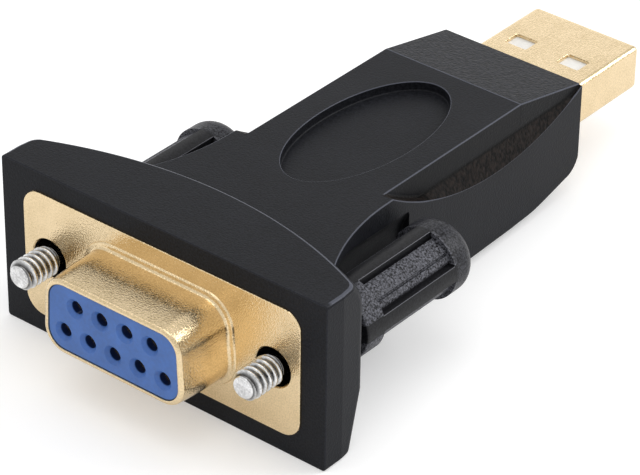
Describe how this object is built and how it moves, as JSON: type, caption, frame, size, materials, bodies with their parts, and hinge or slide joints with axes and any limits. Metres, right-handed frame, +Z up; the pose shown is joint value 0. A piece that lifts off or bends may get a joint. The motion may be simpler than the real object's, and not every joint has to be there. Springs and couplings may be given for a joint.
{
  "type": "usb to serial adapter module",
  "caption": "Moulded plug-in adapter with a D-shaped socket on a wide flange, thumbscrews at its sides, a tapered grip body with scooped sides and a flat plug.",
  "frame": {"origin": "middle of the D connector's plate, on its front face", "axes": "+X along the flange, +Y from the D connector towards the plug, +Z up, wide side of the D below"},
  "size_m": [0.036, 0.0675, 0.0164],
  "materials": {
    "housing_plastic": "black moulded PVC with a fine spark-eroded grain",
    "knob_plastic": "black moulded plastic, grained panels between smooth ribs",
    "gold_flashed_steel": "drawn steel sheet with a thin gold flash",
    "blue_plastic": "blue glass-filled polyester",
    "white_plastic": "white moulded polyester",
    "contact_metal": "brass or phosphor bronze, gold flashed",
    "screw_steel": "nickel-plated steel",
    "board_laminate": "green solder mask on glass-epoxy laminate",
    "chip_plastic": "black epoxy moulding with tinned leads",
    "chip_part_ceramic": "ceramic with tinned end caps",
    "crystal_can": "pressed metal lid on a ceramic base"
  },
  "bodies": {
    "housing_body": {"housing": "housing_plastic", "dsub_front_shell": "gold_flashed_steel", "dsub_rear_shell": "gold_flashed_steel", "dsub_insulator": "blue_plastic", "socket_contact_1": "contact_metal", "socket_contact_2": "contact_metal", "socket_contact_3": "contact_metal", "socket_contact_4": "contact_metal", "socket_contact_5": "contact_metal", "socket_contact_6": "contact_metal", "socket_contact_7": "contact_metal", "socket_contact_8": "contact_metal", "socket_contact_9": "contact_metal", "usb_shell": "gold_flashed_steel", "usb_insulator": "white_plastic", "usb_contact_1": "contact_metal", "usb_contact_2": "contact_metal", "usb_contact_3": "contact_metal", "usb_contact_4": "contact_metal", "circuit_board": "board_laminate", "usb_uart_chip": "chip_plastic", "line_driver_chip": "chip_plastic", "pump_capacitor_1": "chip_part_ceramic", "pump_capacitor_2": "chip_part_ceramic", "pump_capacitor_3": "chip_part_ceramic", "pump_capacitor_4": "chip_part_ceramic", "supply_capacitor": "chip_part_ceramic", "supply_ferrite": "chip_part_ceramic", "pull_up_resistor": "chip_part_ceramic", "clock_crystal": "crystal_can"},
    "left_thumbscrew": {"left_screw": "screw_steel", "left_knob": "knob_plastic"},
    "right_thumbscrew": {"right_screw": "screw_steel", "right_knob": "knob_plastic"}
  },
  "joints": [
    {"name": "left_thumbscrew_turn", "type": "hinge", "parent": "housing_body", "child": "left_thumbscrew", "pos_m": [-0.01249, 0, 0], "axis": [0, -1, 0], "continuous": true},
    {"name": "right_thumbscrew_turn", "type": "hinge", "parent": "housing_body", "child": "right_thumbscrew", "pos_m": [0.01249, 0, 0], "axis": [0, -1, 0], "continuous": true}
  ]
}
